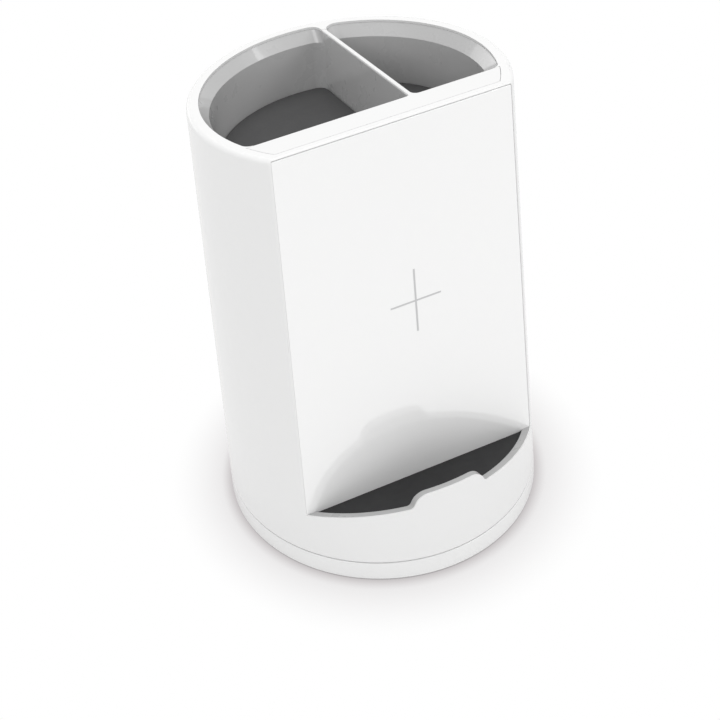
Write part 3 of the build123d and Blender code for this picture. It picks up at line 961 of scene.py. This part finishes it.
@dataclass
class Studio:
    """A white studio: floor, even sky and soft lamps.

    Attributes:
        sky: Strength of the sky on matt surfaces.
        floor_tone: Colour of the floor in the light that it throws back.
        floor_half: Half the side of the floor.
        near_reach: Reach of the painted dark line of contact.
        wide_reach: Reach of the painted soft shadow round the foot.
        near_dark: Strength of the painted dark line.
        wide_dark: Strength of the painted soft shadow.
        half_shade: Place on the ramp from black to white where the painted shadow's own tone lies.
        shade_tone: That tone.
        lamps: The lamps.
    """

    sky: float = 0.71
    floor_tone: Colour = (0.86, 0.86, 0.86)
    floor_half: float = 3.0
    near_reach: float = 0.0035
    wide_reach: float = 0.019
    near_dark: float = 0.6
    wide_dark: float = 0.5
    half_shade: float = 0.6
    shade_tone: Colour = (0.615, 0.59, 0.595)
    lamps: tuple[Lamp, ...] = (
        Lamp("overhead", (0.05, 0.1, 0.95), (0.0, 0.0, 0.1), (0.6, 0.5), 2.6),
        Lamp("left", (-0.64, -0.45, 0.57), (0.0, 0.0, 0.12), (0.60, 0.3), 2.3),
        Lamp("front_right", (0.53, -0.62, 0.545), (0.0, 0.0, 0.1), (0.5, 0.3), 3.0),
        Lamp("behind", (-0.3, 0.85, 0.25), (0.0, 0.0, 0.08), (0.5, 0.3), 1.0),
    )

    @staticmethod
    def seen(graph: Graph) -> Socket:
        """Find which rays see the plain background instead of the light.

        Args:
            graph: Node tree to add to.

        Returns:
            The socket of 1 for camera, gloss and glass rays and 0 for the others.
        """
        rays = graph.node("ShaderNodeLightPath").outputs
        seen = graph.arithmetic("MAXIMUM", rays["Is Camera Ray"], rays["Is Glossy Ray"])
        return graph.arithmetic("MAXIMUM", seen, rays["Is Transmission Ray"])

    def floor_finish(self) -> bpy.types.Material:
        """White floor whose glow, seen by the camera and in reflections, carries a painted shadow
        that darkens it only where the object shades it closely.

        Returns:
            The floor's material.
        """
        graph = Graph("floor_white")
        light = graph.node("ShaderNodeBsdfDiffuse", {"Color": (*self.floor_tone, 1.0)})
        white = graph.node("ShaderNodeEmission", {"Strength": 1.0})
        shades = []
        near = (self.near_reach, self.near_dark)
        wide = (self.wide_reach, self.wide_dark)
        for reach, dark in (near, wide):
            open_sky = graph.node("ShaderNodeAmbientOcclusion", {"Distance": reach}, samples=16)
            shades.append(graph.spread(open_sky.outputs["AO"], 1.0 - dark, 1.0, 0.0, 1.0))
        both = graph.arithmetic("MULTIPLY", *shades)
        tint = graph.node("ShaderNodeValToRGB")
        ramp = tint.color_ramp
        ramp.elements[0].color = (0.0, 0.0, 0.0, 1.0)
        ramp.elements[1].color = (1.0, 1.0, 1.0, 1.0)
        middle = ramp.elements.new(self.half_shade)
        middle.color = (*self.shade_tone, 1.0)
        graph.join(both, tint.inputs["Fac"])
        # The glow takes the ambient occlusion's tint, a painted shadow rather than one cast by the
        # lamps.
        graph.join(tint.outputs["Color"], white.inputs["Color"])
        choice = graph.node("ShaderNodeMixShader")
        graph.join(self.seen(graph), choice.inputs["Fac"])
        graph.join(light.outputs[0], choice.inputs[1])
        graph.join(white.outputs[0], choice.inputs[2])
        graph.join(choice.outputs[0], graph.output.inputs["Surface"])
        return graph.material

    def lay_floor(self) -> None:
        """Add the floor, which is no part of the object."""
        half = self.floor_half
        mesh = bpy.data.meshes.new("floor")
        corners = np.array([(-half, -half, 0), (half, -half, 0), (half, half, 0), (-half, half, 0)])
        mesh.from_pydata(corners, [], [(0, 1, 2, 3)])
        mesh.materials.append(self.floor_finish())
        floor = bpy.data.objects.new("floor", mesh)
        bpy.context.scene.collection.objects.link(floor)
        floor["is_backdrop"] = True

    def light_sky(self) -> None:
        """Make the world white to the camera and plain to matt surfaces."""
        world = bpy.data.worlds.new("white_studio")
        world.use_nodes = True
        tree = world.node_tree
        sky = tree.nodes["Background"]
        sky.inputs["Color"].default_value = (1.0, 1.0, 1.0, 1.0)
        rays = tree.nodes.new("ShaderNodeLightPath").outputs
        first = tree.nodes.new("ShaderNodeMath")
        second = tree.nodes.new("ShaderNodeMath")
        first.operation = second.operation = "MAXIMUM"
        strength = tree.nodes.new("ShaderNodeMapRange")
        strength.inputs["To Min"].default_value = self.sky
        tree.links.new(rays["Is Camera Ray"], first.inputs[0])
        tree.links.new(rays["Is Glossy Ray"], first.inputs[1])
        tree.links.new(first.outputs[0], second.inputs[0])
        tree.links.new(rays["Is Transmission Ray"], second.inputs[1])
        tree.links.new(second.outputs[0], strength.inputs["Value"])
        tree.links.new(strength.outputs["Result"], sky.inputs["Strength"])
        bpy.context.scene.world = world

    def build(self) -> None:
        """Lay the floor, light the sky and hang the lamps."""
        self.lay_floor()
        self.light_sky()
        for lamp in self.lamps:
            lamp.hang()


@dataclass
class Viewpoint:
    """The camera, set where the photograph was taken from.

    Attributes:
        place: The camera's place.
        right: Direction of the picture's width.
        down: Direction of the picture's height.
        focus: Focal length in pixels of the picture.
        middle: Where the optical axis meets the picture, in pixels.
        side: Width and height of the picture in pixels.
        sensor: Width of the sensor in millimetres.
    """

    place: Place = (-0.0997241, -0.2225288, 0.243059)
    right: Place = (0.925641, -0.3458052, -0.1536476)
    down: Place = (-0.3196519, -0.4972612, -0.8065692)
    focus: float = 1133.714
    middle: Span = (201.6, 280.8)
    side: float = 720.0
    sensor: float = 36.0

    def build(self) -> None:
        """Add the camera and make it the scene's."""
        right = Vector(self.right).normalized()
        back = right.cross(-Vector(self.down)).normalized()
        up = back.cross(right)
        turn = Matrix((right, up, back)).transposed().to_4x4()
        turn.translation = Vector(self.place)
        data = bpy.data.cameras.new("camera")
        data.sensor_width = self.sensor
        data.lens = self.focus * self.sensor / self.side
        data.shift_x = (self.side / 2 - self.middle[0]) / self.side
        data.shift_y = (self.middle[1] - self.side / 2) / self.side
        made = bpy.data.objects.new("camera", data)
        made.matrix_world = turn
        bpy.context.scene.collection.objects.link(made)
        bpy.context.scene.camera = made
        log.info("camera set")


def box_lists() -> list[list[float]]:
    """The whole object's box as plain lists."""
    return [[float(part) for part in corner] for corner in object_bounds()]


def main(cad_box: list[list[float]]) -> None:
    """Dress the pen holder, build the studio and set the camera.

    Args:
        cad_box: The CAD model's box; not used.
    """
    logging.basicConfig(level=logging.INFO, format="%(name)s: %(message)s")
    bpy.context.scene.view_settings.view_transform = "Standard"
    finishes = Finishes()
    Drum(finishes).dress()
    Tray(finishes).dress()
    Wells(finishes).dress()
    Foot(finishes).dress()
    Charger(finishes).dress()
    Studio().build()
    Viewpoint().build()


if __name__ == "__main__":
    main(box_lists())
